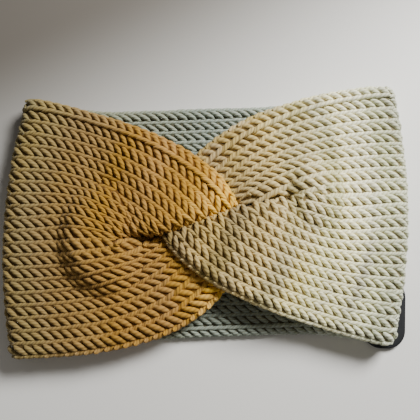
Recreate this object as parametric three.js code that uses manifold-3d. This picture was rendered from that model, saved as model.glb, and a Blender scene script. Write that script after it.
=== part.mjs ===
// Knotted (twist-front) headband, lying flat.
//
// The headband is one knitted tube, pressed flat so that it is a strip of double cloth. Its two ends
// are folded round each other at the front and sewn together, which makes the knot. The model keeps
// the strip's functional stretches apart: the back band, the two turns, the two front panels and the
// four half-strips that cross in the knot.
//
// Frame: millimetres, +X along the headband, +Y across it, +Z up, with the back band on z = 0.

import * as THREE from "three";
import { mergeVertices } from "three/addons/utils/BufferGeometryUtils.js";
import Module from "manifold-3d";

const wasm = await Module();
wasm.setup();

// ---- Driving dimensions ----

const FOLD_SPAN = 210; // from one turn of the strip to the other, laid flat
const STRIP_WIDTH = 132; // the flattened tube where it turns
const BACK_WIDTH = 120; // the flattened tube across the back
const CLOTH = 5; // both layers of the flattened tube
const HEAD_GAP = 5; // between the back band and the front
const FOLD_BULGE = 8; // how far the middle of a turn stands out past its corners
const BEND_LINE = 45; // distance from the middle of the lines where the opened ring bends
const KNOT_ANGLE = 17.5; // degrees, the slant of the line where the two upper lobes meet
const LAYER_GAP = 0.4; // between cloth that lies on cloth
const CUT_GAP = 0.3; // between pieces that touch
const EDGE_ROUND = 2; // how far the rounding of an edge runs in from it
const CROWN = 3; // how much the middle of an upper lobe swells
const LABEL_WIDTH = 22;
const LABEL_HEIGHT = 36;
const LABEL_THICKNESS = 1.4;
const LABEL_CORNER = 7;
const LABEL_PROUD = 3; // how far the label's lower end stands out past the strip's edge
const LABEL_INSET = 2; // from the end of the headband to the label's long side
const THREAD = 0.5; // sewing thread of the label
const THREAD_INSET = 1.6; // from the label's rim to its seam
const THREAD_CLEARANCE = 0.1; // from the table to the thread
const SEAM_YARN = 1.6; // thickness of the yarn that sews the knot
const SEAM_LENGTH = 22;

// ---- Levels and places that follow from them ----

const BACK_MIDDLE = CLOTH / 2;
const FRONT_BOTTOM = CLOTH + HEAD_GAP;
const FRONT_MIDDLE = FRONT_BOTTOM + CLOTH / 2;
const FOLD_MIDDLE = CLOTH + HEAD_GAP / 2;
const FOLD_INNER = HEAD_GAP / 2;
const FOLD_OUTER = CLOTH + HEAD_GAP / 2;
const TURN = FOLD_SPAN / 2 - FOLD_OUTER; // x of a turn's centre line, at the middle of the strip
const HALF_WIDTH = STRIP_WIDTH / 2;
const LABEL_BOTTOM = THREAD_CLEARANCE + THREAD + CUT_GAP;
const OVER_RISE = CLOTH + LAYER_GAP;
const RISE_START = -BEND_LINE + 2; // where an upper lobe starts to climb over the other strip
const RISE_LENGTH = 21; // it has climbed where its crease ends
const UNDER_HANDLE = [12, -0.86]; // edge of an under lobe: across in mm, along in half widths
const UNDER_END = [14, -16]; // where an under lobe ends, inside the knot

const knot = THREE.MathUtils.degToRad(KNOT_ANGLE);
const along = new THREE.Vector2(Math.cos(knot), Math.sin(knot));
const across = new THREE.Vector2(-Math.sin(knot), Math.cos(knot));

// A place in the knot, by its distances along and across the line where the upper lobes meet.
function knotPlace(distance, offset) {
  return along.clone().multiplyScalar(distance).addScaledVector(across, offset);
}

// The plan of one strip, drawn for the left one: the right one is turned half a turn. Each line is a
// cubic curve from the turn to the knot. The crease is the strip's middle, where it folds in; its
// upper half goes over the other strip and its lower half goes under it.
function stripPlan({ creaseDrop, creaseEnd, tipReach }) {
  const endOfCrease = knotPlace(-creaseEnd, LAYER_GAP);
  return {
    crease: [
      new THREE.Vector2(-TURN, -1),
      new THREE.Vector2(-0.72 * TURN, -0.3 * creaseDrop),
      new THREE.Vector2(-2 * creaseEnd, -creaseDrop),
      endOfCrease,
    ],
    over: [
      new THREE.Vector2(-TURN, HALF_WIDTH),
      new THREE.Vector2(-0.6 * TURN, 0.95 * HALF_WIDTH),
      new THREE.Vector2(0.05 * tipReach, 0.6 * HALF_WIDTH),
      knotPlace(tipReach, LAYER_GAP),
    ],
    under: [
      new THREE.Vector2(-TURN, -HALF_WIDTH),
      new THREE.Vector2(-0.5 * TURN, -HALF_WIDTH),
      new THREE.Vector2(UNDER_HANDLE[0], UNDER_HANDLE[1] * HALF_WIDTH),
      new THREE.Vector2(...UNDER_END),
    ],
  };
}

const leftPlan = stripPlan({ creaseDrop: 9, creaseEnd: 23, tipReach: 18 });
const rightPlan = stripPlan({ creaseDrop: 18, creaseEnd: 20, tipReach: 22 });

// ---- Cloth as closed slabs ----

function smooth(value) {
  return THREE.MathUtils.smoothstep(value, 0, 1);
}

function pointOnCubic([a, b, c, d], t) {
  const s = 1 - t;
  return new THREE.Vector2()
    .addScaledVector(a, s * s * s)
    .addScaledVector(b, 3 * s * s * t)
    .addScaledVector(c, 3 * s * t * t)
    .addScaledVector(d, t * t * t);
}

// Where the column `share` of the strip runs, from -1 at its lower edge over 0 at the crease to 1.
function pointOnStrip(plan, t, share) {
  const edge = share < 0 ? plan.under : plan.over;
  const point = pointOnCubic(plan.crease, t).lerp(pointOnCubic(edge, t), Math.abs(share));
  point.x += FOLD_BULGE * share * share * (1 - t) ** 2;
  return point;
}

// How far along a column its x reaches a given value: x grows all the way there.
function reach(plan, share, x) {
  let low = 0;
  let high = 1;
  for (let step = 0; step < 40; step++) {
    const middle = (low + high) / 2;
    if (pointOnStrip(plan, middle, share).x < x) low = middle;
    else high = middle;
  }
  return low;
}

// Half of the cloth's thickness, thinner at the strip's outer edges so that they are rounded.
function halfCloth(share) {
  const fromEdge = (1 - Math.abs(share)) * HALF_WIDTH;
  return fromEdge < EDGE_ROUND / 2 ? CLOTH / 5 : CLOTH / 2;
}

// Column places between two shares, with an extra one where a rounded edge starts.
function columnShares(first, last, count) {
  const shares = Array.from({ length: count + 1 }, (_, i) => first + ((last - first) * i) / count);
  const edge = 1 - EDGE_ROUND / HALF_WIDTH;
  if (first <= -1) shares.splice(1, 0, -edge);
  if (last >= 1) shares.splice(shares.length - 1, 0, edge);
  return shares;
}

// A closed slab over a grid. `place(row, share)` gives the upper and the lower point of one place,
// for rows from 0 to 1.
function slab(rows, shares, place) {
  const grid = [];
  for (let row = 0; row <= rows; row++) grid.push(shares.map((share) => place(row / rows, share)));
  const positions = [];
  const quad = (a, b, c, d) => {
    for (const p of [a, b, c, a, c, d]) positions.push(p.x, p.y, p.z);
  };
  const last = shares.length - 1;
  for (let i = 0; i < rows; i++) {
    for (let j = 0; j < last; j++) {
      quad(grid[i][j][0], grid[i + 1][j][0], grid[i + 1][j + 1][0], grid[i][j + 1][0]);
      quad(grid[i][j][1], grid[i][j + 1][1], grid[i + 1][j + 1][1], grid[i + 1][j][1]);
    }
    quad(grid[i][0][0], grid[i][0][1], grid[i + 1][0][1], grid[i + 1][0][0]);
    quad(grid[i][last][0], grid[i + 1][last][0], grid[i + 1][last][1], grid[i][last][1]);
  }
  for (let j = 0; j < last; j++) {
    quad(grid[0][j][0], grid[0][j + 1][0], grid[0][j + 1][1], grid[0][j][1]);
    quad(grid[rows][j][0], grid[rows][j][1], grid[rows][j + 1][1], grid[rows][j + 1][0]);
  }
  const geometry = new THREE.BufferGeometry();
  geometry.setAttribute("position", new THREE.Float32BufferAttribute(positions, 3));
  return mergeVertices(geometry, 1e-4);
}

function upperAndLower(x, y, middle, half, swell = 0) {
  return [new THREE.Vector3(x, y, middle + half + swell), new THREE.Vector3(x, y, middle - half)];
}

// The stretch of a strip between its turn and its bend line.
function frontPanel(plan) {
  return slab(10, columnShares(-1, 1, 16), (row, share) => {
    const start = reach(plan, share, pointOnStrip(plan, 0, share).x + CUT_GAP);
    const end = reach(plan, share, -BEND_LINE - CUT_GAP / 2);
    const point = pointOnStrip(plan, start + (end - start) * row, share);
    return upperAndLower(point.x, point.y, FRONT_MIDDLE, halfCloth(share));
  });
}

// A half-strip between its bend line and the knot: the upper one climbs over the other strip.
function lobe(plan, first, last, rise, crown) {
  return slab(14, columnShares(first, last, 8), (row, share) => {
    const start = reach(plan, share, -BEND_LINE + CUT_GAP / 2);
    const point = pointOnStrip(plan, start + (1 - start) * row, share);
    const climbed = smooth((point.x - RISE_START) / RISE_LENGTH);
    const swell = crown * climbed * Math.sin(Math.PI * Math.abs(share));
    return upperAndLower(point.x, point.y, FRONT_MIDDLE + rise * climbed, halfCloth(share), swell);
  });
}

// One quarter of a turn: `side` is -1 below the middle of the turn and 1 above it.
function turnQuarter(side) {
  const cut = CUT_GAP / 2 / FOLD_INNER;
  const from = side < 0 ? -Math.PI / 2 : cut;
  const to = side < 0 ? -cut : Math.PI / 2;
  return slab(6, columnShares(-1, 1, 14), (row, share) => {
    const angle = from + (to - from) * row;
    const centre = -TURN + FOLD_BULGE * share * share;
    const middle = (FOLD_OUTER + FOLD_INNER) / 2;
    return [halfCloth(share), -halfCloth(share)].map(
      (offset) =>
        new THREE.Vector3(
          centre - (middle + offset) * Math.cos(angle),
          share * HALF_WIDTH,
          FOLD_MIDDLE + (middle + offset) * Math.sin(angle),
        ),
    );
  });
}

// The back band narrows from the turns to the back of the head.
function backHalfWidth(x) {
  const narrowing = smooth((TURN - Math.abs(x)) / (TURN - BEND_LINE));
  return HALF_WIDTH + (BACK_WIDTH / 2 - HALF_WIDTH) * narrowing;
}

function backBand(startOf, endOf, rows) {
  return slab(rows, columnShares(-1, 1, 12), (row, share) => {
    const x = startOf(share) + (endOf(share) - startOf(share)) * row;
    return upperAndLower(x, share * backHalfWidth(x), BACK_MIDDLE, halfCloth(share));
  });
}

function turnStart(share) {
  return -TURN + FOLD_BULGE * share * share + CUT_GAP;
}

// ---- Pieces of the knot, and the label ----

// An outline pushed up along Z between two levels.
function prism(outline, bottom, top) {
  const geometry = new THREE.ExtrudeGeometry(new THREE.Shape(outline), {
    depth: top - bottom,
    bevelEnabled: false,
  });
  return geometry.translate(0, 0, bottom);
}

// Where the ends of the two lower lobes leave room, the ends of the strips are gathered and sewn.
function knotCore() {
  const leftEnd = [leftPlan.crease[3], leftPlan.under[3]];
  const rightEnd = [rightPlan.crease[3], rightPlan.under[3]].map((p) => p.clone().negate());
  const corners = [...leftEnd, ...rightEnd];
  const middle = corners.reduce((sum, p) => sum.add(p), new THREE.Vector2()).divideScalar(4);
  const outline = corners.map((p) => p.clone().sub(middle));
  const inset = outline.map((p) => p.clone().setLength(p.length() - 3 * CUT_GAP).add(middle));
  return prism(inset, FRONT_BOTTOM + SEAM_YARN + CUT_GAP, FRONT_BOTTOM + CLOTH);
}

// A bar with round ends, lying along the line where the lobes meet.
function seamYarn() {
  const radius = SEAM_YARN;
  const half = SEAM_LENGTH / 2 - radius;
  const outline = new THREE.Shape();
  outline.absarc(half, 0, radius, -Math.PI / 2, Math.PI / 2);
  outline.absarc(-half, 0, radius, Math.PI / 2, (3 * Math.PI) / 2);
  return prism(outline.getPoints(6), FRONT_BOTTOM, FRONT_BOTTOM + SEAM_YARN).rotateZ(knot);
}

// The label's outline, moved outward by `grow`. It lies under the lower corner at the right turn.
function labelOutline(grow) {
  const right = FOLD_SPAN / 2 - LABEL_INSET + grow;
  const left = FOLD_SPAN / 2 - LABEL_INSET - LABEL_WIDTH - grow;
  const bottom = -HALF_WIDTH - LABEL_PROUD - grow;
  const top = -HALF_WIDTH - LABEL_PROUD + LABEL_HEIGHT + grow;
  const corner = LABEL_CORNER + grow;
  const outline = new THREE.Shape();
  outline.absarc(right - corner, bottom + corner, corner, -Math.PI / 2, 0);
  outline.absarc(right - corner, top - corner, corner, 0, Math.PI / 2);
  outline.absarc(left + corner, top - corner, corner, Math.PI / 2, Math.PI);
  outline.absarc(left + corner, bottom + corner, corner, Math.PI, (3 * Math.PI) / 2);
  return outline.getPoints(6);
}

function label() {
  return prism(labelOutline(0), LABEL_BOTTOM, LABEL_BOTTOM + LABEL_THICKNESS);
}

// The sewing thread runs round the label, just inside its rim.
function labelThread() {
  const shape = new THREE.Shape(labelOutline(-THREAD_INSET + THREAD / 2));
  shape.holes.push(new THREE.Path(labelOutline(-THREAD_INSET - THREAD / 2)));
  const geometry = new THREE.ExtrudeGeometry(shape, { depth: THREAD, bevelEnabled: false });
  return geometry.translate(0, 0, LABEL_BOTTOM - CUT_GAP - THREAD);
}

// ---- Cutting with manifold ----

function toSolid(geometry) {
  const bare = geometry.index ? geometry.toNonIndexed() : geometry.clone();
  bare.deleteAttribute("normal");
  bare.deleteAttribute("uv");
  const merged = mergeVertices(bare, 1e-4);
  return new wasm.Manifold(
    new wasm.Mesh({
      numProp: 3,
      vertProperties: merged.attributes.position.array,
      triVerts: new Uint32Array(merged.index.array),
    }),
  );
}

function toGeometry(solid) {
  const mesh = solid.getMesh();
  const geometry = new THREE.BufferGeometry();
  geometry.setAttribute("position", new THREE.BufferAttribute(mesh.vertProperties, 3));
  geometry.setIndex(new THREE.BufferAttribute(mesh.triVerts, 1));
  return geometry;
}

// The cloth over the label is pressed up by it.
function pressedByLabel(geometry) {
  const pocket = prism(labelOutline(CUT_GAP), -1, LABEL_BOTTOM + LABEL_THICKNESS + CUT_GAP);
  return toGeometry(toSolid(geometry).subtract(toSolid(pocket)));
}

// ---- Assembly ----

function knit(color) {
  return new THREE.MeshStandardMaterial({ color, roughness: 0.92, metalness: 0 });
}

function named(name, geometry, material) {
  geometry.computeVertexNormals();
  const mesh = new THREE.Mesh(geometry, material);
  mesh.name = name;
  return mesh;
}

const headband = new THREE.Group();
const leftStrip = new THREE.Group();
const rightStrip = new THREE.Group();
rightStrip.rotation.z = Math.PI;
headband.add(leftStrip, rightStrip);
headband.position.y = LABEL_PROUD / 2; // the origin is the middle of the whole outline

const bendLine = () => -BEND_LINE - CUT_GAP / 2;
const sideBack = () => backBand(turnStart, bendLine, 6);
const middleStart = () => -BEND_LINE + CUT_GAP / 2;
const middleEnd = () => BEND_LINE - CUT_GAP / 2;
const halfTurn = (geometry) => geometry.rotateZ(Math.PI);
const crease = CUT_GAP / HALF_WIDTH; // the share of the strip's half that the cut at the crease takes

headband.add(
  named("back_centre_band", backBand(middleStart, middleEnd, 4), knit(0x96a5a5)),
  named("back_left_band", sideBack(), knit(0x9aa08c)),
  named("back_right_band", pressedByLabel(halfTurn(sideBack())), knit(0xb4beb4)),
  named("right_turn_under", pressedByLabel(halfTurn(turnQuarter(-1))), knit(0xc4c9b8)),
  named("knot_core", knotCore(), knit(0xb98f48)),
  named("seam_yarn", seamYarn(), knit(0xc79c52)),
  named("label", label(), new THREE.MeshStandardMaterial({ color: 0x23292f, roughness: 0.55 })),
  named("label_thread", labelThread(), new THREE.MeshStandardMaterial({ color: 0x1a1d20, roughness: 0.7 })),
);

leftStrip.add(
  named("left_turn_under", turnQuarter(-1), knit(0xa39a6e)),
  named("left_turn_over", turnQuarter(1), knit(0xa89464)),
  named("left_front_panel", frontPanel(leftPlan), knit(0xb8924a)),
  named("left_upper_lobe", lobe(leftPlan, crease, 1, OVER_RISE, CROWN), knit(0xdba652)),
  named("left_lower_lobe", lobe(leftPlan, -1, -crease, 0, 0), knit(0xc9963f)),
);

rightStrip.add(
  named("right_turn_over", turnQuarter(1), knit(0xcccdb6)),
  named("right_front_panel", frontPanel(rightPlan), knit(0xc8c6a6)),
  named("right_lower_lobe", lobe(rightPlan, crease, 1, OVER_RISE, CROWN), knit(0xb9ae82)),
  named("right_upper_lobe", lobe(rightPlan, -1, -crease, 0, 0), knit(0xb5ab7c)),
);

export default headband;
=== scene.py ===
# %% [markdown]
# # A knotted headband in stockinette
# The real headband is one knitted tube pressed flat, folded round itself at the front and sewn into a
# knot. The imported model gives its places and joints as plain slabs. These cells dress it: a smooth
# ground cloth that has the right form, and on it thousands of real yarn legs, the two sides of each
# stockinette V, placed along the courses of the knitting.

# %% Load the frame
import math

import bmesh
import bpy
import numpy as np
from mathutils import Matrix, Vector


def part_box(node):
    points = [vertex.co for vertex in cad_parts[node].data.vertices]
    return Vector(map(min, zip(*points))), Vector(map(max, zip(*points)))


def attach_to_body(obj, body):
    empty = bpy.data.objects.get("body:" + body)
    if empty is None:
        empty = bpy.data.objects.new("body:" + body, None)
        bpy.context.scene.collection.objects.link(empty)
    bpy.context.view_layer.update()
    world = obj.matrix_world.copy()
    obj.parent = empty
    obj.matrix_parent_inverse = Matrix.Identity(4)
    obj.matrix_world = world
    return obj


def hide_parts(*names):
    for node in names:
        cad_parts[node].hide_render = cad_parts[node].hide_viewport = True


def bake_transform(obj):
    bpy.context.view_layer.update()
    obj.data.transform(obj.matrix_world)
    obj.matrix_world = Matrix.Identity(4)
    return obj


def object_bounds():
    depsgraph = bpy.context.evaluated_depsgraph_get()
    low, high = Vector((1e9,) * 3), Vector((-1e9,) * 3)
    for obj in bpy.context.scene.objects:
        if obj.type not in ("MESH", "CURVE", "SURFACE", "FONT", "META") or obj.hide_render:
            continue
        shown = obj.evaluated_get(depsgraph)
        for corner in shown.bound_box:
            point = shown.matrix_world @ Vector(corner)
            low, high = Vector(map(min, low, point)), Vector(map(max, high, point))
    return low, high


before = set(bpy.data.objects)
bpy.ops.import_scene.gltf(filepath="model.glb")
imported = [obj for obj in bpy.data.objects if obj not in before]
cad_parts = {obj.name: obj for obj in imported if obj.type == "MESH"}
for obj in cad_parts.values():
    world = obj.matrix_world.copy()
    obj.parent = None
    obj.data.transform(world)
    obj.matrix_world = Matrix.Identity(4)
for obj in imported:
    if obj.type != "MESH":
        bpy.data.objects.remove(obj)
cad_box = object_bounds()
MM = 0.001
print("CAD box, mm:", [round(v / MM, 1) for corner in cad_box for v in corner])

# %% [markdown]
# ## Camera, light and table
# The headband lies on a pale table by a window. The camera looks down from a little in front of it,
# so that the lower edges show their thickness. It comes first, because every later choice is judged
# through it.

# %% Camera
CAMERA_DISTANCE = 0.30
SENSOR_WIDTH = 36
CAMERA_LEAN = math.radians(5.8)  # from straight down, towards the lower edge
CAMERA_ROLL = math.radians(-2.1)
VIEW_WIDTH = 0.2168  # what the frame shows across, at the height of the cloth
AIM = Vector((0.0010, 0.0050, 0.010))
AIM.y += (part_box("back_centre_band")[0].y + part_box("back_centre_band")[1].y) / 2

camera_data = bpy.data.cameras.new("camera")
camera = bpy.data.objects.new("camera", camera_data)
bpy.context.scene.collection.objects.link(camera)
camera_data.sensor_width = SENSOR_WIDTH
camera_data.lens = SENSOR_WIDTH * CAMERA_DISTANCE / VIEW_WIDTH
camera.location = AIM + CAMERA_DISTANCE * Vector((0, -math.sin(CAMERA_LEAN), math.cos(CAMERA_LEAN)))
camera.rotation_mode = "XYZ"
camera.rotation_euler = (CAMERA_LEAN, 0, CAMERA_ROLL)
bpy.context.scene.camera = camera
print("camera lens, mm:", round(camera_data.lens, 1))


# %% Helpers for objects, materials and nodes
def add_object(name, mesh):
    made = bpy.data.objects.new(name, mesh)
    bpy.context.scene.collection.objects.link(made)
    return made


def plain_material(name, color, roughness):
    material = bpy.data.materials.new(name)
    material.use_nodes = True
    surface = material.node_tree.nodes["Principled BSDF"]
    surface.inputs["Base Color"].default_value = (*color, 1)
    surface.inputs["Roughness"].default_value = roughness
    return material


class Nodes:
    """Adds nodes to a tree. A socket given as a value is linked, and any other value is set."""

    def __init__(self, tree):
        self.tree = tree

    def plug(self, value, socket):
        if isinstance(value, bpy.types.NodeSocket):
            self.tree.links.new(value, socket)
        else:
            socket.default_value = value

    def add(self, kind, settings=None, **values):
        node = self.tree.nodes.new(kind)
        for key, value in (settings or {}).items():
            setattr(node, key, value)
        for key, value in values.items():
            self.plug(value, node.inputs[key.replace("_", " ")])
        return node

    def math(self, operation, *values):
        node = self.add("ShaderNodeMath", {"operation": operation})
        for value, socket in zip(values, node.inputs):
            self.plug(value, socket)
        return node.outputs[0]

    def attribute(self, name):
        return self.add("ShaderNodeAttribute", {"attribute_name": name}).outputs["Fac"]


def fill_ramp(ramp, stops):
    """Gives a colour ramp its stops, each a place and a colour."""
    ramp.elements[0].position, ramp.elements[0].color = stops[0]
    ramp.elements[1].position, ramp.elements[1].color = stops[-1]
    for place, color in stops[1:-1]:
        ramp.elements.new(place).color = color


# %% Table and light
TABLE_SIZE = 6.0
table_mesh = bpy.data.meshes.new("table")
half_table = TABLE_SIZE / 2
table_corners = [(-half_table, -half_table, 0), (half_table, -half_table, 0),
                 (half_table, half_table, 0), (-half_table, half_table, 0)]
table_mesh.from_pydata(table_corners, [], [(0, 1, 2, 3)])
table = add_object("table", table_mesh)

PALE_PAINT = (0.96, 0.955, 0.925, 1)
# painted shade: the colour of the band of table that the wall beside the window would shade
PAINTED_SHADE = (0.155, 0.14, 0.12, 1)
SHADE_DIRECTION = (-0.42, 1, 0)
SHADE_REACH = 0.5
SHADE_STOPS = ((0.03, PALE_PAINT), (0.30, PAINTED_SHADE), (0.45, PAINTED_SHADE), (0.95, PALE_PAINT))


def shade_far_side(material):
    """Paints shade into the table's colour: a darker band past the far left, as if the wall beside the window
    shaded it.
    """
    make = Nodes(material.node_tree)
    towards = make.add("ShaderNodeVectorMath", {"operation": "DOT_PRODUCT"})
    make.plug(make.add("ShaderNodeTexCoord").outputs["Object"], towards.inputs[0])
    make.plug(SHADE_DIRECTION, towards.inputs[1])
    reach = make.add("ShaderNodeMapRange", Value=towards.outputs["Value"], From_Max=SHADE_REACH)
    paint = make.add("ShaderNodeValToRGB", Fac=reach.outputs["Result"])
    paint.color_ramp.interpolation = "EASE"
    fill_ramp(paint.color_ramp, SHADE_STOPS)
    make.plug(paint.outputs["Color"], material.node_tree.nodes["Principled BSDF"].inputs["Base Color"])


table_paint = plain_material("table paint", PALE_PAINT[:3], 0.6)
shade_far_side(table_paint)
table_mesh.materials.append(table_paint)


def area_light(name, place, size, power, color):
    data = bpy.data.lights.new(name, "AREA")
    data.size = size
    data.energy = power
    data.color = color
    light = add_object(name, data)
    light.location = place
    light.rotation_euler = (-Vector(place)).to_track_quat("-Z", "Y").to_euler()
    return light


area_light("window", place=(0.37, 0.35, 0.43), size=0.24, power=7.9, color=(1.0, 0.99, 0.965))
world = bpy.data.worlds.new("room light")
world.use_nodes = True
surround = world.node_tree.nodes["Background"].inputs
surround["Color"].default_value = (1.0, 0.945, 0.865, 1)
surround["Strength"].default_value = 0.14
bpy.context.scene.world = world
print("lights: a window and a soft surround")

# %% [markdown]
# ## Sizes from the frame
# Nothing is measured twice: the thickness of the cloth, the turns and the widths come from the boxes
# of the plain slabs. Only the places where the cloth dives into the knot are chosen here, and they
# repeat the plan of the model.

# %% Sizes
back_low, back_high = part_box("back_centre_band")
turn_low, turn_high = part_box("left_turn_over")
CLOTH = back_high.z / MM
FRONT_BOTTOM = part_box("left_lower_lobe")[0].z / MM
FRONT_MIDDLE = FRONT_BOTTOM + CLOTH / 2
FOLD_MIDDLE = (CLOTH + FRONT_BOTTOM) / 2
FOLD_RADIUS = FRONT_MIDDLE - FOLD_MIDDLE
MIDDLE_Y = (back_low.y + back_high.y) / 2 / MM
HALF_WIDTH = (turn_high.y - turn_low.y) / 2 / MM
BACK_HALF_WIDTH = (back_high.y - back_low.y) / 2 / MM
TURN = -cad_box[0].x / MM - FOLD_RADIUS - CLOTH / 2
FOLD_BULGE = (turn_high.x - turn_low.x) / MM - FOLD_RADIUS - CLOTH / 2
BEND_LINE = -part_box("back_centre_band")[0].x / MM
print("cloth", CLOTH, "half width", HALF_WIDTH, "turn", round(TURN, 1), "bulge", round(FOLD_BULGE, 1))

KNOT_ANGLE = math.radians(17.5)  # of the line between the two halves that lie on top
LAYER_GAP = 0.4
OVER_RISE = CLOTH + LAYER_GAP
CROWN = 3.0  # how much the over half arches
KNOT_END_RADIUS = 4.0  # with which the over half rolls down at its wales' ends
CREASE_GAPE = 2.2  # how far the under half lies back from the crease. The over half lies back by half of it
CREASE_DIP = 5.4  # how deep the under half dives at the crease
DIP_REACH = 3.6  # how far from a wale's end the under half dives
CREASE_PART = {True: 0.47, False: 0.27}  # share of the over and under half's wales ending in the crease
VALLEY_REACH = 2.6  # how far from the crease the under half lies down
BULGE_RISE = 0.25  # of the soft bulge round the outer end of a crease, as a share of its reach
BULGE_SLOPE = 13  # distance over which the bulge rises
PILLOW = 2.2  # how much the under half swells
PILLOW_START, PILLOW_LENGTH = -75, 35  # where it begins to swell, and over what length
CLIMB_START, CLIMB_LENGTH = -62, 40  # the same for the rise of the over half
FOLD_SLANT = 4.1  # how far the fold line leans in at its upper edge, and out at its lower one
CREASE_HANDLE = 14  # length of the last handle of the wale that divides the halves
FAN_SHARE = 0.12  # share of a half in which the wales turn away from the dividing one
UNDER_SLOPE = math.radians(33)  # at which the under half's wales rise to their ends
KNOT_ALONG = np.array([math.cos(KNOT_ANGLE), math.sin(KNOT_ANGLE)])
KNOT_ACROSS = np.array([-math.sin(KNOT_ANGLE), math.cos(KNOT_ANGLE)])


def smooth(value):
    value = np.clip(value, 0, 1)
    return value * value * (3 - 2 * value)


# %% [markdown]
# ## The course of the cloth
# A knitted tube has columns of stitches, the wales, which run along the headband. Each wale starts in
# the middle of the back, lies flat to the turn, goes round it and comes back over the front to the
# knot. There the strip is folded lengthwise: the upper half dives into the knot along one slanted
# line, and the lower half goes under the other strip. A wale's plan is a cubic curve, so a few chosen
# places shape the whole strip. The right strip is the left one turned by half a turn.

# %% Wales of a strip
BACK_POINTS, TURN_POINTS, FRONT_POINTS = 80, 24, 239  # along a wale's path


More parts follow.
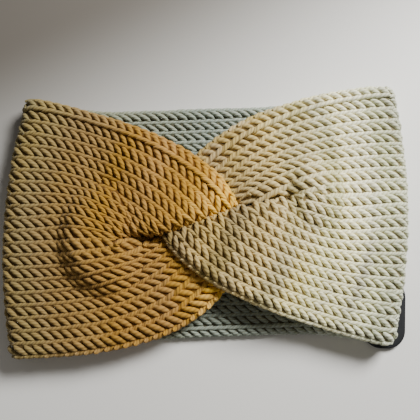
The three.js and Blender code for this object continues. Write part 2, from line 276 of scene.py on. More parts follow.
class Strip:
    """Half of the ring, drawn as the left one. `share` is -1 at the lower edge and 1 at the upper."""

    def __init__(self, side, crease_start, crease_end, tip_reach, bulge_reach, over_edge, under_edge):
        self.side = side
        self.crease_start = np.array(crease_start, float)
        self.crease_end = -crease_end * KNOT_ALONG + LAYER_GAP * KNOT_ACROSS
        self.tip = tip_reach * KNOT_ALONG + LAYER_GAP * KNOT_ACROSS
        self.hidden_end = np.array([14.0, -16.0])
        self.bulge_reach = bulge_reach
        self.divide = self.crease_start[1] / HALF_WIDTH
        self.edge_shift = {
            True: np.array(over_edge) - self.inner_handles(1.0),
            False: np.array(under_edge) - self.inner_handles(-1.0),
        }

    def half(self, share):
        """Whether a wale belongs to the half that lies over the other strip, and how far out it is in it."""
        if share >= self.divide:
            return True, (share - self.divide) / (1 - self.divide)
        return False, (self.divide - share) / (1 + self.divide)

    def start(self, share):
        """Where a wale leaves the turn, on the top. The fold line is bowed and a little aslant."""
        return np.array([-TURN + FOLD_BULGE * share**2 + FOLD_SLANT * share, share * HALF_WIDTH])

    def knot_place(self, share):
        """Where a wale ends: first along the crease, then on the line between the lobes."""
        over, size = self.half(share)
        part = CREASE_PART[over]
        gape = (0, (0.5 if over else -1) * CREASE_GAPE * smooth(size / 0.05))
        if size < part:
            return self.crease_start + (self.crease_end - self.crease_start) * size / part + gape
        far = self.tip if over else self.hidden_end
        return self.crease_end + (far - self.crease_end) * (size - part) / (1 - part) + gape

    def inner_handles(self, share):
        """The two inner points of a wale's curve, before the free edges are adjusted."""
        over, size = self.half(share)
        start, end = self.start(share), self.knot_place(share)
        opening = 1 - math.exp(-size / FAN_SHARE)
        if over:
            slant = math.radians(-38 * opening - 8 * size - 26 * size**4)
            last = CREASE_HANDLE + (22 - 10 * size**2) * opening
            first = start + (17 + 27 * size, -8 * size**3)
            return np.array([first, end - last * np.array([math.cos(slant), math.sin(slant)])])
        rise = max(end[1] - start[1], 0) / math.tan(UNDER_SLOPE)
        level = end[0] - CREASE_HANDLE * (1 - opening) - rise * opening
        handle_y = start[1] + (end[1] - start[1]) * (1 - opening)
        return np.array([[start[0] + 0.6 * (level - start[0]), start[1]], [level, handle_y]])

    def plan(self, share):
        """The four points of a wale's cubic curve over the front."""
        over, size = self.half(share)
        handles = self.inner_handles(share) + self.edge_shift[over] * min(size, 1.05)**2.4
        return np.array([self.start(share), *handles, self.knot_place(share)])

    def front(self, share, t):
        """Middle surface of the front, in mm, for curve places t."""
        a, b, c, d = self.plan(share)
        t = np.asarray(t, float)[:, None]
        s = 1 - t
        flat = s**3 * a + 3 * s * s * t * b + 3 * s * t * t * c + t**3 * d
        return np.column_stack([flat, self.front_height(share, flat, d)])

    def front_height(self, share, flat, end):
        """Height of the middle surface: the front rises to the knot and rolls down at its creases."""
        x = flat[:, 0]
        over, size = self.half(share)
        size = min(size, 1.0)
        bulge = self.bulge(flat)
        left = np.linalg.norm(flat - end, axis=1)
        if over:
            climbed = smooth((x - CLIMB_START) / CLIMB_LENGTH)
            height = OVER_RISE * smooth(size / 0.3) + CROWN * math.sin(math.pi * size) ** 0.8
            height = np.maximum(climbed * height, bulge)
            radius = KNOT_END_RADIUS * smooth(size / 0.14)
            inside = np.clip(1 - left / max(radius, 0.01), 0, 1)
            return FRONT_MIDDLE + height - radius * (1 - np.sqrt(1 - inside**2))
        swelling = math.sin(math.pi * min(size * 1.2, 1)) ** 0.8
        pillow = PILLOW * smooth((x - PILLOW_START) / PILLOW_LENGTH) * swelling
        dip = CREASE_DIP * smooth(size / 0.04) * (1 - smooth((size - 0.4) / 0.25))
        dip = dip * np.exp(-((left / DIP_REACH) ** 2))
        return FRONT_MIDDLE + np.maximum(pillow, bulge) - np.maximum(dip, self.valley(flat))

    def bulge(self, flat):
        """Height of the soft bulge round the outer end of the crease."""
        ring = np.linalg.norm((flat - self.crease_start) * (1, 0.85), axis=1)
        risen = self.bulge_reach * BULGE_RISE * smooth((self.bulge_reach - ring) / BULGE_SLOPE)
        return risen * smooth((self.crease_start[0] + 24 - flat[:, 0]) / 22)

    def valley(self, flat):
        """How far the under half lies down beside the crease."""
        crease = self.crease_end - self.crease_start
        past_start = np.clip((flat - self.crease_start) @ crease / (crease @ crease), 0, 1)
        away = np.linalg.norm(flat - self.crease_start - past_start[:, None] * crease, axis=1)
        return CREASE_DIP * smooth(past_start / 0.3) * np.exp(-((away / VALLEY_REACH) ** 2))

    def path(self, share):
        """Middle surface of one wale from the middle of the back to the knot, in the left strip's frame."""
        turn_x = self.start(share)[0]
        x = np.linspace(0, turn_x, BACK_POINTS)
        narrowing = smooth((TURN - np.abs(x)) / (TURN - BEND_LINE))
        half = HALF_WIDTH + (BACK_HALF_WIDTH - HALF_WIDTH) * narrowing
        back = np.column_stack([x, share * half, np.full(len(x), CLOTH / 2)])
        angle = np.linspace(-math.pi / 2, math.pi / 2, TURN_POINTS + 1)[1:]
        turn = np.column_stack([
            turn_x - FOLD_RADIUS * np.cos(angle),
            np.full(TURN_POINTS, share * HALF_WIDTH),
            FOLD_MIDDLE + FOLD_RADIUS * np.sin(angle),
        ])
        front = self.front(share, np.linspace(0, 1, FRONT_POINTS + 1)[1:])
        return np.vstack([back, turn, front])

    def place(self, points):
        """From the left strip's frame, in mm, to the object's frame, in metres."""
        placed = points.copy()
        if self.side == "right":
            placed[:, :2] *= -1
        placed[:, 1] += MIDDLE_Y
        return placed * MM

    def turned(self, vectors):
        return vectors * ((-1, -1, 1) if self.side == "right" else (1, 1, 1))


strips = [
    Strip("left", crease_start=(-49.2, -7.8), crease_end=23, tip_reach=17, bulge_reach=28,
          over_edge=((-42, 55), (8.8, 30.5)), under_edge=((-44.5, -66), (12, -57))),
    Strip("right", crease_start=(-54.9, -11.3), crease_end=17, tip_reach=23, bulge_reach=19,
          over_edge=((-40.2, 53), (12, 30.4)), under_edge=((-55, -66), (4, -46))),
]


def resample(points, distances):
    """Points of a polyline at given distances from its start, and their indices as fractions."""
    steps = np.linalg.norm(np.diff(points, axis=0), axis=1)
    run = np.concatenate([[0], np.cumsum(steps)])
    index = np.interp(distances, run, np.arange(len(run)))
    return np.column_stack([np.interp(distances, run, points[:, k]) for k in range(3)]), index


def unit(vectors):
    return vectors / np.maximum(np.linalg.norm(vectors, axis=1, keepdims=True), 1e-9)


def wale_frames(strip, share):
    """Dense path of a wale, its direction, the cloth's normal and the width for one unit of share."""
    path = strip.path(share)
    nearby = 0.012
    across = strip.path(share + nearby) - strip.path(share - nearby)
    along = np.gradient(path, axis=0)
    normal = unit(np.cross(along, across))
    return path, unit(along), normal, np.linalg.norm(across, axis=1) / (2 * nearby)


for strip in strips:
    lengths = [np.linalg.norm(np.diff(strip.path(s), axis=0), axis=1).sum() for s in (-1, 0, 1)]
    print(strip.side, "strip, length from the middle of the back, mm:", [round(v) for v in lengths])

# %% [markdown]
# ## Yarn
# The yarn is spun from plies and dyed in long stretches, so its colour changes slowly round the ring,
# from gold at the knot over olive and blue-grey to sage and tan, and a little from row to row. The
# colours also hold painted shade: they are darker at both ends, where the strips go into the knot,
# and along the dim left strip. Each leg carries its place in the ring and its own tone as attributes,
# because a picture of the colours couldn't bend with the cloth. The plies are a shader group that both
# materials of the knit place.

# %% Shader group for plied yarn
def plied_yarn_group():
    group = bpy.data.node_groups.new("Plied yarn", "ShaderNodeTree")
    for name, default in (("Plies", 3.0), ("Turns", 1.2)):
        socket = group.interface.new_socket(name, in_out="INPUT", socket_type="NodeSocketFloat")
        socket.default_value = default
    for name in ("Height", "Groove"):
        group.interface.new_socket(name, in_out="OUTPUT", socket_type="NodeSocketFloat")
    make = Nodes(group)
    given = make.add("NodeGroupInput").outputs
    angle = make.math("ARCTAN2", make.attribute("yarn_side"), make.attribute("yarn_front"))
    turns = make.math("MULTIPLY", make.attribute("yarn_along"), given["Turns"])
    twist = make.math("MULTIPLY", turns, 2 * math.pi)
    phase = make.math("MULTIPLY", make.math("ADD", angle, twist), given["Plies"])
    wave = make.math("MULTIPLY_ADD", make.math("COSINE", phase), 0.5, 0.5)
    height = make.math("POWER", wave, 0.6)
    make.add("NodeGroupOutput", Height=height, Groove=make.math("SUBTRACT", 1.0, height))
    return group


PLIED_YARN = plied_yarn_group()


# %% Material of the knit
def srgb(red, green, blue):
    """A colour as seen, 0 to 255, as the linear value that a shader takes."""
    def linear(value):
        value /= 255
        return value / 12.92 if value <= 0.04045 else ((value + 0.055) / 1.055) ** 2.4
    return (linear(red), linear(green), linear(blue), 1)


# The yarn's dye with painted shade in it: the darker colours at both ends, where the strips go into the knot,
# and the dim stretch from 0.11 to 0.3 on the left strip are darkened partly for the shade there.
RING_DYE_AND_SHADE = (  # place in the ring, from the left end in the knot to the right end
    (0.000, (150, 116, 62)),
    (0.030, (255, 208, 82)),
    (0.060, (255, 204, 86)),
    (0.110, (188, 142, 58)),
    (0.167, (178, 135, 60)),
    (0.228, (163, 134, 80)),
    (0.300, (152, 140, 96)),
    (0.400, (156, 162, 140)),
    (0.500, (160, 171, 160)),
    (0.620, (196, 206, 194)),
    (0.720, (232, 237, 212)),
    (0.800, (254, 250, 206)),
    (0.870, (204, 184, 126)),
    (0.930, (186, 162, 106)),
    (1.000, (132, 108, 72)),
)
# painted shade in the grooves between the plies
GROOVE_SHADE = (0.72, 0.67, 0.59, 1)
MIX_A, MIX_B, MIX_RESULT = 6, 7, 2  # the colour sockets of a Mix node, which share their names with others


def knit_material(name, shade):
    """Knit in the ring's colours. `shade` is a painted shade that dims it between the legs."""
    material = plain_material(name, shade, 0.88)
    surface = material.node_tree.nodes["Principled BSDF"].inputs
    surface["Specular IOR Level"].default_value = 0.25
    surface["Sheen Weight"].default_value = 0.14
    surface["Sheen Roughness"].default_value = 0.45
    make = Nodes(material.node_tree)

    def multiply(amount, color, by):
        mix = make.add("ShaderNodeMix", {"data_type": "RGBA", "blend_type": "MULTIPLY"}, Factor=amount)
        make.plug(color, mix.inputs[MIX_A])
        make.plug(by, mix.inputs[MIX_B])
        return mix.outputs[MIX_RESULT]

    ramp = make.add("ShaderNodeValToRGB", Fac=make.attribute("ring_place"))
    fill_ramp(ramp.color_ramp, [(place, srgb(*color)) for place, color in RING_DYE_AND_SHADE])
    tint = make.attribute("yarn_tint")
    toned = make.add("ShaderNodeHueSaturation", Color=ramp.outputs["Color"],
                     Saturation=make.math("MULTIPLY_ADD", tint, 0.30, 1.0),
                     Hue=make.math("MULTIPLY_ADD", tint, 0.006, 0.5),
                     Value=make.math("MULTIPLY_ADD", make.attribute("yarn_tone"), 0.34, 1.0))
    shaded = multiply(1.0, toned.outputs["Color"], (*shade, 1))
    plies = make.add("ShaderNodeGroup", {"node_tree": PLIED_YARN}).outputs
    # the grooves between the plies get painted shade
    make.plug(multiply(plies["Groove"], shaded, GROOVE_SHADE), surface["Base Color"])
    bump = make.add("ShaderNodeBump", Strength=0.4, Distance=0.0005, Height=plies["Height"])
    make.plug(bump.outputs["Normal"], surface["Normal"])
    return material


YARN = knit_material("wool yarn", (1.0, 1.0, 1.0))
# the knit again, with painted shade, for what shows between and under the stitches
KNIT_IN_PAINTED_SHADE = knit_material("wool in the shade of the stitches", (0.29, 0.235, 0.17))
print("yarn colours round the ring:", len(RING_DYE_AND_SHADE))

# %% [markdown]
# ## Ground cloth
# Between the legs of the stitches the eye sees the back of the knitting, soft and deep in shade. A
# smooth closed shell under the legs gives that, in the knit's colours with painted shade on them, and
# it is the piece that has the cloth's real area, so it is the one declared as a sheet. Its section is a
# flattened tube with round edges, and it is cut where the joints need separate pieces: round the turn,
# over the front and across the back.

# %% Helpers for closed solids
def keep(mesh, label, kind, values):
    """Stores values on a mesh's points."""
    field = "vector" if kind == "FLOAT_VECTOR" else "value"
    mesh.attributes.new(label, kind, "POINT").data.foreach_set(field, np.asarray(values, np.float32).ravel())


def fix_normals(piece):
    made = bmesh.new()
    made.from_mesh(piece.data)
    bmesh.ops.remove_doubles(made, verts=made.verts, dist=1e-6)
    bmesh.ops.recalc_face_normals(made, faces=made.faces)
    made.to_mesh(piece.data)
    made.free()


def solid(name, points, faces, material, **values):
    """A smooth closed piece whose faces point outwards. `values` are stored on its points."""
    mesh = bpy.data.meshes.new(name)
    mesh.from_pydata(points, [], faces)
    for label, numbers in values.items():
        keep(mesh, label, "FLOAT", numbers)
    mesh.materials.append(material)
    mesh.polygons.foreach_set("use_smooth", [True] * len(mesh.polygons))
    made = add_object(name, mesh)
    fix_normals(made)
    return made


def tube_faces(rings, around):
    """Faces between rings of points that have the same number of points each."""
    faces = []
    for i in range(rings - 1):
        for j in range(around):
            k = (j + 1) % around
            faces.append((i * around + j, i * around + k, (i + 1) * around + k, (i + 1) * around + j))
    return faces


def closed_tube_faces(rings, around):
    """The same with a cap on the first and the last ring."""
    last = (rings - 1) * around
    return tube_faces(rings, around) + [tuple(range(around))[::-1], tuple(range(last, last + around))]


# %% Shell of the flattened tube
GROUND_HALF = 1.15  # half thickness of the shell
EDGE_SHARE = 1 - 2.6 / HALF_WIDTH
PART_LINE = 66.0  # distance from the middle where the pieces meet
RING_HALF = 245.0  # from the middle of the back to the end of the colours in the knot
FACE_SHARES = np.linspace(-EDGE_SHARE, EDGE_SHARE, 45)
EDGE_ANGLES = np.radians([60, 20, -20, -60])


def ring_place(strip, distance):
    """Place in the ring's colours for a distance from the middle of the back."""
    side = -1 if strip.side == "left" else 1
    return 0.5 + side * 0.5 * np.clip(distance / RING_HALF, 0, 1)


def stretch_limits(strip, share, part):
    """Distances along a wale where a part of the ring starts and ends."""
    path = strip.path(share)
    run = np.concatenate([[0], np.cumsum(np.linalg.norm(np.diff(path, axis=0), axis=1))])
    first_over = np.argmax(path[:, 2] > FOLD_MIDDLE)
    turned = first_over + TURN_POINTS // 2
    leaves = np.interp(PART_LINE, -path[:first_over, 0], run[:first_over])
    returns = np.interp(-PART_LINE, path[turned:, 0], run[turned:])
    return {"back": (0.0, leaves), "turn": (leaves, returns), "front": (returns, run[-1])}[part]


def ground_shell(strip, part, steps):
    """Rings round the flattened tube, from one end of the part to the other."""
    columns = {}
    for share in FACE_SHARES:
        path, _, normal, _ = wale_frames(strip, share)
        start, end = stretch_limits(strip, share, part)
        distances = np.linspace(start, end, steps)
        centre, index = resample(path, distances)
        near = np.clip(np.round(index).astype(int), 0, len(path) - 1)
        columns[share] = (centre, normal[near], distances)
    outer_points, outer_places = [], []
    lower, upper = FACE_SHARES[0], FACE_SHARES[-1]
    for share in FACE_SHARES:
        centre, normal, distances = columns[share]
        outer_points.append(centre + GROUND_HALF * normal)
        outer_places.append(distances)

    def edge(share, beyond):
        centre, normal, distances = columns[share]
        neighbour = columns[beyond][0]
        outward = unit(centre - neighbour)
        turns = EDGE_ANGLES if share > 0 else EDGE_ANGLES[::-1]
        for turn in turns:
            outer_points.append(centre + GROUND_HALF * (math.sin(turn) * normal + math.cos(turn) * outward))
            outer_places.append(distances)

    edge(upper, FACE_SHARES[-2])
    for share in FACE_SHARES[::-1]:
        centre, normal, distances = columns[share]
        outer_points.append(centre - GROUND_HALF * normal)
        outer_places.append(distances)
    edge(lower, FACE_SHARES[1])
    return np.array(outer_points), np.array(outer_places)


def ground_piece(strip, part, steps):
    points, distances = ground_shell(strip, part, steps)
    around = len(points)
    vertices = strip.place(points.transpose(1, 0, 2).reshape(-1, 3))
    faces = tube_faces(steps, around)
    last = (steps - 1) * around
    face_count = len(FACE_SHARES)
    edge_count = len(EDGE_ANGLES)
    for base, flip in ((0, False), (last, True)):
        for j in range(face_count - 1):
            far = 2 * face_count + edge_count - 1 - j
            quad = (base + j, base + j + 1, base + far - 1, base + far)
            faces.append(quad[::-1] if flip else quad)
        upper_fan = [base + face_count - 1 + j for j in range(edge_count + 2)]
        lower_fan = [base + 2 * face_count + edge_count - 1 + j for j in range(edge_count + 1)] + [base]
        for fan in (upper_fan, lower_fan):
            faces.append(tuple(fan if flip else fan[::-1]))
    places = ring_place(strip, distances.T.reshape(-1))
    # the shell wears the knit with painted shade
    made = solid(f"{strip.side}_{part}_ground", vertices.tolist(), faces, KNIT_IN_PAINTED_SHADE, ring_place=places)
    press(made)
    return made


LABEL_BOX = [corner.copy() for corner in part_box("label")]
PRESS_REACH = 3.0  # how softly the cloth goes over the label's rim
PRESS_GAP = 0.1  # between the label and the cloth on it


def press(piece):
    """Flattens the yarn that the headband's weight presses on the table and on the label."""
    mesh = piece.data
    places = np.empty(len(mesh.vertices) * 3, np.float32)
    mesh.vertices.foreach_get("co", places)
    places = places.reshape(-1, 3)
    low, high = (np.array(corner) for corner in LABEL_BOX)
    reach = PRESS_REACH * MM
    inside = np.minimum(places[:, :2] - low[:2], high[:2] - places[:, :2]).min(axis=1)
    level = smooth(inside / reach + 1) * (high[2] + PRESS_GAP * MM)
    low_part = places[:, 2] < CLOTH * MM / 2
    places[:, 2] = np.where(low_part, np.maximum(places[:, 2], level), places[:, 2])
    mesh.vertices.foreach_set("co", np.maximum(places, (-1, -1, 0)).ravel())
    mesh.update()


GROUND_STEPS = {"back": 24, "turn": 44, "front": 70}  # rings of points along each part
grounds = {}
for strip in strips:
    for part, steps in GROUND_STEPS.items():
        grounds[strip.side, part] = ground_piece(strip, part, steps)
print("ground pieces:", len(grounds))

# %% [markdown]
# ## Stitches
# One stockinette stitch shows two legs. On this machine-knitted tube the V leans: one leg is short
# and slants, the other runs nearly along the wale, so that the long legs of a wale join into a line.
# Modelling each by hand is out of the question, and a bump pattern has no depth at the edges. So a
# geometry node tree makes one leg of each kind from a curve and puts it at every stitch.

# %% Start and end of a geometry node tree
def start_tree(name, sizes, material_name):
    """An empty tree with geometry in and out, named sizes and a material."""
    tree = bpy.data.node_groups.new(name, "GeometryNodeTree")
    face = tree.interface
    face.new_socket("Geometry", in_out="INPUT", socket_type="NodeSocketGeometry")
    for label, default in sizes:
        socket = face.new_socket(label, in_out="INPUT", socket_type="NodeSocketFloat")
        socket.default_value = default
    face.new_socket(material_name, in_out="INPUT", socket_type="NodeSocketMaterial")
    face.new_socket("Geometry", in_out="OUTPUT", socket_type="NodeSocketGeometry")
    return tree


def end_tree(make, instances, material):
    """Makes the instances real, smooth and of one material."""
    real = make.add("GeometryNodeRealizeInstances", Geometry=instances)
    shaded = make.add("GeometryNodeSetShadeSmooth", Geometry=real.outputs["Geometry"])
    finished = make.add("GeometryNodeSetMaterial", Geometry=shaded.outputs["Geometry"], Material=material)
    make.plug(finished.outputs["Geometry"], make.add("NodeGroupOutput").inputs[0])


# %% Node tree of the stitches
STITCH_LENGTH = 4.9  # along a wale
WALE_WIDTH = 6.27
OUTER_WALE = 10  # number of the outermost wale, counted from the middle of a face
EDGE_TILT = math.radians(24)  # the outermost wales lean over the round edge
TUCKED_AWAY = 0.33  # where wales are squeezed to less than this, their stitches go into the fold
STITCH_HEIGHT = 1.0  # of the middle of a leg over the middle of the cloth
YARN_RADIUS = 1.28
LEG_LIFT = 0.55  # unit in which a leg's heights are given
END_THICKNESS = 0.45  # of a leg, where it tucks under its neighbour, as a share of its middle
LEG_JITTER = (0.07, 0.05, 0.07)  # how far a stitch may turn about its three axes, in radians
SHORT_LEG = ((-0.74, 0.46, -1.6), (-0.50, 0.42, 1.3), (0.22, 0.06, 2.0), (0.66, -0.26, -0.6))
LONG_LEG = ((-0.80, -0.46, -1.6), (-0.34, -0.46, 1.0), (0.28, -0.31, 1.2), (0.84, -0.25, -1.3))


def stitch_tree():
    sizes = (("Stitch length", STITCH_LENGTH * MM), ("Wale width", WALE_WIDTH * MM),
             ("Yarn radius", YARN_RADIUS * MM), ("Lift", LEG_LIFT * MM))
    tree = start_tree("Stitch legs", sizes, "Yarn")
    seed = tree.interface.new_socket("Seed", in_out="INPUT", socket_type="NodeSocketInt")
    seed.default_value = 7
    make = Nodes(tree)
    given = make.add("NodeGroupInput").outputs

    def times(value, factor):
        return make.math("MULTIPLY", value, factor)

    def vector(x, y, z):
        """A point given in shares of the stitch length, the wale width and the lift."""
        return make.add("ShaderNodeCombineXYZ", X=times(given["Stitch length"], x),
                        Y=times(given["Wale width"], y), Z=times(given["Lift"], z)).outputs[0]

    def store(geometry, name, value):
        node = make.add("GeometryNodeStoreNamedAttribute", {"data_type": "FLOAT", "domain": "POINT"},
                        Geometry=geometry, Name=name, Value=value)
        return node.outputs["Geometry"]

    def spline_factor():
        return make.add("GeometryNodeSplineParameter").outputs["Factor"]

    def leg(points, thickness, sides=8, segments=6):
        curve = make.add("GeometryNodeCurvePrimitiveBezierSegment", Resolution=4 * segments)
        for socket, point in zip(("Start", "Start Handle", "End Handle", "End"), points):
            make.plug(vector(*point), curve.inputs[socket])
        even = make.add("GeometryNodeResampleCurve", Curve=curve.outputs[0], Count=segments + 1)
        along = store(even.outputs["Curve"], "yarn_along", spline_factor())
        place = spline_factor()
        middle = make.math("MULTIPLY", times(place, 4), make.math("SUBTRACT", 1.0, place))
        rounded = make.math("POWER", middle, 0.55)
        taper = make.math("MULTIPLY_ADD", rounded, 1 - END_THICKNESS, END_THICKNESS)
        radius = make.math("MULTIPLY", taper, times(given["Yarn radius"], thickness))
        thick = make.add("GeometryNodeSetCurveRadius", Curve=along, Radius=radius)
        circle = make.add("GeometryNodeCurvePrimitiveCircle", Resolution=sides, Radius=1.0)
        turn = times(spline_factor(), 2 * math.pi)
        profile = store(circle.outputs["Curve"], "yarn_side", make.math("SINE", turn))
        profile = store(profile, "yarn_front", make.math("COSINE", turn))
        sweep = make.add("GeometryNodeCurveToMesh", Curve=thick.outputs["Curve"], Profile_Curve=profile,
                         Scale=make.add("GeometryNodeInputRadius").outputs[0], Fill_Caps=True)
        return sweep.outputs["Mesh"]

    both = make.add("GeometryNodeJoinGeometry")
    make.plug(leg(SHORT_LEG, 1.0), both.inputs[0])
    make.plug(leg(LONG_LEG, 0.88), both.inputs[0])

    def named(name):
        node = make.add("GeometryNodeInputNamedAttribute", {"data_type": "FLOAT_VECTOR"}, Name=name)
        return node.outputs["Attribute"]

    facing = make.add("FunctionNodeAxesToRotation", {"primary_axis": "Z", "secondary_axis": "X"})
    make.plug(named("stitch_normal"), facing.inputs[0])
    make.plug(named("stitch_direction"), facing.inputs[1])
    jitter = make.add("FunctionNodeRandomValue", {"data_type": "FLOAT_VECTOR"}, Seed=given["Seed"])
    jitter.inputs[0].default_value = [-angle for angle in LEG_JITTER]
    jitter.inputs[1].default_value = LEG_JITTER
    turned = make.add("FunctionNodeRotateRotation", {"rotation_space": "LOCAL"})
    make.plug(facing.outputs[0], turned.inputs[0])
    make.plug(jitter.outputs[0], turned.inputs[1])
    placed = make.add("GeometryNodeInstanceOnPoints", Points=given["Geometry"], Instance=both.outputs[0],
                      Rotation=turned.outputs[0], Scale=named("stitch_scale"))
    end_tree(make, placed.outputs["Instances"], given["Yarn"])
    return tree


STITCH_TREE = stitch_tree()


# %% Points of the stitches
def realise(carrier, name, tree, **settings):
    """Runs a node tree on a carrier object and returns its result as a plain mesh object."""
    modifier = carrier.modifiers.new(tree.name, "NODES")
    modifier.node_group = tree
    for item in tree.interface.items_tree:
        if item.in_out == "INPUT" and item.name.replace(" ", "_") in settings:
            modifier[item.identifier] = settings[item.name.replace(" ", "_")]
    graph = bpy.context.evaluated_depsgraph_get()
    mesh = bpy.data.meshes.new_from_object(
        carrier.evaluated_get(graph), preserve_all_data_layers=True, depsgraph=graph)
    bpy.data.objects.remove(carrier)
    mesh.name = name
    return add_object(name, mesh)


def hash_noise(values):
    """Smooth noise in one dimension between -1 and 1, the same on every run."""
    values = np.asarray(values, float)
    low = np.floor(values)

    def rough(k):
        swung = np.sin(k * 127.1 + 11.7) * 43758.5453
        return 2 * (swung - np.floor(swung)) - 1

    part = smooth(values - low)
    return rough(low) * (1 - part) + rough(low + 1) * part


ROUND = 44  # stitches in one round of the real tube, after which its yarn is one course on
TIGHTEST, WIDEST = 0.62, 1.35  # limits of a stitch's width as a share of the usual one


def stitch_points(strip, part):
    """For each stitch of a part: place, normal, direction, width, distance and number of its wale."""
    numbers = np.arange(-OUTER_WALE, OUTER_WALE + 1)
    wales = [(k, 1) for k in numbers] + [(k, -1) for k in numbers[::-1]]
    rows = []
    for order, (number, face) in enumerate(wales):
        path, along, normal, width = wale_frames(strip, number * WALE_WIDTH / HALF_WIDTH)
        start, end = stretch_limits(strip, number * WALE_WIDTH / HALF_WIDTH, part)
        middles = (np.arange(math.ceil(end / STITCH_LENGTH) + 1) + 0.5) * STITCH_LENGTH
        middles = middles[(middles >= start) & (middles < end)]
        centre, index = resample(path, middles)
        near = np.clip(np.round(index).astype(int), 0, len(path) - 1)
        d, n = along[near], normal[near]
        outward = np.cross(n, d) * math.copysign(1, number)
        if abs(number) == OUTER_WALE:
            n = unit(math.cos(EDGE_TILT) * n + math.sin(EDGE_TILT) * outward * face)
        centre = centre + STITCH_HEIGHT * face * n
        spacing = width[near] / HALF_WIDTH
        tight = np.clip(spacing, TIGHTEST, WIDEST)
        if strip.side == "right":
            d = -d
        for k in np.flatnonzero(spacing > TUCKED_AWAY):
            rows.append((centre[k], face * n[k], d[k], tight[k], middles[k], order))
    return rows


def stitch_piece(strip, part):
    rows = stitch_points(strip, part)
    centre = strip.place(np.array([r[0] for r in rows]))
    normal = strip.turned(np.array([r[1] for r in rows]))
    direction = strip.turned(np.array([r[2] for r in rows]))
    tight = np.array([r[3] for r in rows])
    distance = np.array([r[4] for r in rows])
    wale = np.array([r[5] for r in rows])
    name = f"{strip.side}_{part}_stitches"
    mesh = bpy.data.meshes.new(name)
    mesh.from_pydata(centre.tolist(), [], [])
    course = np.round(distance / STITCH_LENGTH) + (1000 if strip.side == "right" else 0)
    yarn_run = course + wale / ROUND
    tone = 0.55 * hash_noise(yarn_run * 1.7) + 0.45 * hash_noise(yarn_run * 9.3 + 50)
    keep(mesh, "stitch_normal", "FLOAT_VECTOR", normal)
    keep(mesh, "stitch_direction", "FLOAT_VECTOR", direction)
    uneven = 1 + 0.06 * hash_noise(yarn_run * ROUND + 5)
    keep(mesh, "stitch_scale", "FLOAT_VECTOR", np.column_stack([uneven, tight * uneven, uneven]))
    place = ring_place(strip, distance + 5 * hash_noise(yarn_run * 0.9 + 9))
    tint = 0.5 * hash_noise(yarn_run * 0.8 + 31) + 0.5 * hash_noise(yarn_run * 7.1 + 77)
    flecked = 0.3 + 0.7 * smooth((place - 0.5) / 0.2)  # the pale stretch of the yarn is the most uneven
    keep(mesh, "ring_place", "FLOAT", place)
    keep(mesh, "yarn_tone", "FLOAT", tone * flecked)
    keep(mesh, "yarn_tint", "FLOAT", tint * flecked)
    made = realise(add_object(name + "_points", mesh), name, STITCH_TREE, Yarn=YARN)
    press(made)
    print(name, len(rows), "stitches,", sum(len(p.vertices) - 2 for p in made.data.polygons), "triangles")
    return made


stitches = {}
for strip in strips:
    for part in GROUND_STEPS:
        stitches[strip.side, part] = stitch_piece(strip, part)

# %% [markdown]
# ## Inside of the knot
# Where the halves cross, the gathered ends of the tube are bundled and sewn together with yarn. It
# doesn't show, but the knot would be hollow without it when the ring is opened. The bundle is a
# pleated body of knit, and the seam is a row of slanted yarn stitches over it, made by a second node
# tree that also sews the label.

# %% Pleated bundle
def pleated_bundle():
    low, high = (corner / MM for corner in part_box("knot_core"))
    middle, half = (low + high) / 2, (high - low) / 2
    rings, around = 27, 72
    points = []
    for u in np.linspace(-1, 1, rings):
        swell = 0.94 * (1 - abs(u) ** 2.6) ** 0.5 + 0.02
        for turn in np.arange(around) * 2 * math.pi / around:
            pleat = 0.93 + 0.06 * math.cos(9 * turn + 3 * u) + 0.03 * math.cos(17 * turn - 5 * u)
            along = 0.95 * half.x * u
            across = 0.9 * half.y * swell * pleat * math.cos(turn)
            up = half.z * swell * pleat * math.sin(turn)
            place = (middle.x + along - 0.3 * across, middle.y + across + 0.18 * along, middle.z + up)
            points.append([MM * value for value in place])
    # the bundle wears the knit with painted shade
    return solid("gathered_ends", points, closed_tube_faces(rings, around), KNIT_IN_PAINTED_SHADE)


gathered_ends = pleated_bundle()
print("gathered ends:", len(gathered_ends.data.vertices), "vertices")


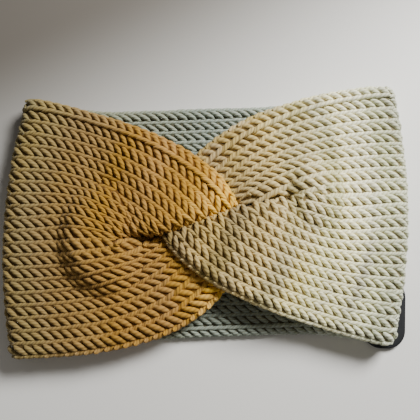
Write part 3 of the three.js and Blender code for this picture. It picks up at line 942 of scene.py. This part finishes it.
# %% Node tree for a row of sewing
def sewing_tree():
    sizes = (("Spacing", 0.003), ("Length", 0.002), ("Thickness", 0.0005), ("Slant", 0.0))
    tree = start_tree("Row of sewing", sizes, "Thread")
    make = Nodes(tree)
    given = make.add("NodeGroupInput").outputs

    def half(socket, share):
        return make.math("MULTIPLY", socket, share * 0.5)

    path = make.add("GeometryNodeMeshToCurve", Mesh=given["Geometry"])
    spaced = make.add("GeometryNodeResampleCurve", {"mode": "LENGTH"}, Curve=path.outputs["Curve"],
                      Length=given["Spacing"])
    stitch = make.add("GeometryNodeCurvePrimitiveBezierSegment", Resolution=6)
    for name, share, risen in (("Start", -1, False), ("Start Handle", -0.8, True),
                               ("End Handle", 0.8, True), ("End", 1, False)):
        place = make.add("ShaderNodeCombineXYZ", X=half(given["Length"], share))
        if risen:
            make.plug(given["Thickness"], place.inputs["Z"])
        make.plug(place.outputs[0], stitch.inputs[name])
    circle = make.add("GeometryNodeCurvePrimitiveCircle", Resolution=8, Radius=half(given["Thickness"], 1))
    tube = make.add("GeometryNodeCurveToMesh", Curve=stitch.outputs[0], Profile_Curve=circle.outputs["Curve"],
                    Fill_Caps=True)
    facing = make.add("FunctionNodeAxesToRotation", {"primary_axis": "Z", "secondary_axis": "X"})
    make.plug((0, 0, 1), facing.inputs[0])
    make.plug(make.add("GeometryNodeInputTangent").outputs[0], facing.inputs[1])
    slanted = make.add("FunctionNodeRotateRotation", {"rotation_space": "LOCAL"})
    make.plug(facing.outputs[0], slanted.inputs[0])
    make.plug(make.add("ShaderNodeCombineXYZ", Z=given["Slant"]).outputs[0], slanted.inputs[1])
    placed = make.add("GeometryNodeInstanceOnPoints", Points=spaced.outputs["Curve"],
                      Instance=tube.outputs["Mesh"], Rotation=slanted.outputs[0])
    end_tree(make, placed.outputs["Instances"], given["Thread"])
    return tree


SEWING_TREE = sewing_tree()


# %% Sewing along a line
def sew(name, points, closed, **settings):
    mesh = bpy.data.meshes.new(name + "_line")
    edges = [(i, i + 1) for i in range(len(points) - 1)]
    if closed:
        edges.append((len(points) - 1, 0))
    mesh.from_pydata([tuple(p) for p in points], edges, [])
    return realise(add_object(name + "_line", mesh), name, SEWING_TREE, **settings)


seam_low, seam_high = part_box("seam_yarn")
SEAM_YARN = 0.0016
seam_top = seam_high.z - SEAM_YARN
seam_line = [seam_low.lerp(seam_high, k / 8) for k in range(9)]
for point in seam_line:
    point.z = seam_top
seam_yarn = sew("seam_yarn_stitches", seam_line, closed=False, Spacing=2 * SEAM_YARN, Length=0.0062,
                Thickness=SEAM_YARN, Slant=math.radians(62), Thread=YARN)
print("seam yarn:", len(seam_yarn.data.vertices), "vertices")

# %% [markdown]
# ## Label
# A small tag of dark smooth leather is sewn under the lower right corner and peeks out past the
# cloth. It has no lettering. Its rim is pressed thinner than its middle, its free corner curls up a
# little, and a sewn line runs inside the rim.

# %% Label and its thread
def label_material():
    material = plain_material("dark leather", (0.010, 0.011, 0.014), 0.5)
    make = Nodes(material.node_tree)
    place = make.add("ShaderNodeTexCoord").outputs["Object"]
    grain = make.add("ShaderNodeTexVoronoi", Vector=place, Scale=1800)
    bump = make.add("ShaderNodeBump", Strength=0.25, Distance=0.0001, Height=grain.outputs["Distance"])
    make.plug(bump.outputs["Normal"], material.node_tree.nodes["Principled BSDF"].inputs["Normal"])
    return material


LABEL_SIZE = (LABEL_BOX[1] - LABEL_BOX[0]) / MM
LABEL_CORNER = 9.5
LABEL_LEAN = math.radians(-5)
LABEL_CURL = 0.5  # how far the free corner lifts
LABEL_LAYERS = (  # height over the underside and inset from the rim
    (0.00, 0.45),
    (0.12, 0.15),
    (0.40, 0.0),
    (0.95, 0.0),
    (1.25, 0.15),
    (1.40, 0.6),
    (1.40, 2.2),
)


def label_outline(inset, steps=10):
    """Points round the label, about its middle, in mm."""
    corner = LABEL_CORNER - inset
    x, y = LABEL_SIZE.x / 2 - LABEL_CORNER, LABEL_SIZE.y / 2 - LABEL_CORNER
    points = []
    for k, (sx, sy) in enumerate(((1, 1), (-1, 1), (-1, -1), (1, -1))):
        for i in range(steps + 1):
            turn = math.pi / 2 * (k + i / steps)
            points.append((sx * x + corner * math.cos(turn), sy * y + corner * math.sin(turn)))
    return points


def label_place(x, y, height):
    """From the label's own plane, in mm, to the object's frame, in metres."""
    low, high = LABEL_BOX
    curl = LABEL_CURL * smooth((x - y) / 18 - 0.6)
    cos, sin = math.cos(LABEL_LEAN), math.sin(LABEL_LEAN)
    return (
        (low.x + high.x) / 2 + (cos * x - sin * y - 1.2) * MM,
        (low.y + high.y) / 2 + (sin * x + cos * y - 0.6) * MM,
        low.z + (height + float(curl)) * MM,
    )


def make_label():
    points = []
    for height, inset in LABEL_LAYERS:
        points += [label_place(x, y, height) for x, y in label_outline(inset)]
    around = len(points) // len(LABEL_LAYERS)
    return solid("leather_label", points, closed_tube_faces(len(LABEL_LAYERS), around), label_material())


label = make_label()
THREAD_DROP = 0.45  # from the label's underside down to the thread
THREAD_INSET = 1.6  # from the rim to the sewn line
thread_line = [label_place(x, y, -THREAD_DROP) for x, y in label_outline(THREAD_INSET)]
label_thread = sew("label_sewing", thread_line, closed=True, Spacing=0.0031, Length=0.0021, Thickness=0.0004,
                   Slant=0.0, Thread=plain_material("dark thread", (0.03, 0.032, 0.036), 0.7))
print("label sewing:", len(label_thread.data.vertices), "vertices")

# %% [markdown]
# ## The cloth and the moving frame
# The ring opens at six lines. Each piece of cloth crosses at most one of them: the back piece between
# the middle and the side, the turn between the back and the front, and the front piece between the
# panel and the knot. Each piece of cloth here only has its placing baked in, and the slabs that it
# stands for are hidden; the small pieces are attached to their bodies.


def attach(piece, part):
    if part == "back":
        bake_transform(piece)
    elif part == "turn":
        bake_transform(piece)
    else:
        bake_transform(piece)


STANDS_FOR = {
    "back": [],
    "turn": ["back_{}_band", "{}_turn_under", "{}_turn_over"],
    "front": ["{}_front_panel", "{}_upper_lobe", "{}_lower_lobe"],
}
for (side, part), piece in grounds.items():
    attach(piece, part)
    attach(stitches[side, part], part)
    if STANDS_FOR[part]:
        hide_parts(*[node.format(side) for node in STANDS_FOR[part]])
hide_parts("back_centre_band")
SMALL_PIECES = (
    (gathered_ends, "knot_left", "left_front_knit", "knot_core"),
    (seam_yarn, "knot_left", "seam_yarn", "seam_yarn"),
    (label, "back_right", "label_leather", "label"),
    (label_thread, "back_right", "label_thread", "label_thread"),
)
for piece, body, finish, node in SMALL_PIECES:
    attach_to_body(piece, body)
    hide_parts(node)

# %% Cloth declared as sheets
HELD = {"back": "laid", "turn": "folded", "front": "gathered"}
for strip in strips:
    for part, held in HELD.items():
        lengths = [end - start for start, end in
                   (stretch_limits(strip, share, part) for share in np.linspace(-0.9, 0.9, 10))]
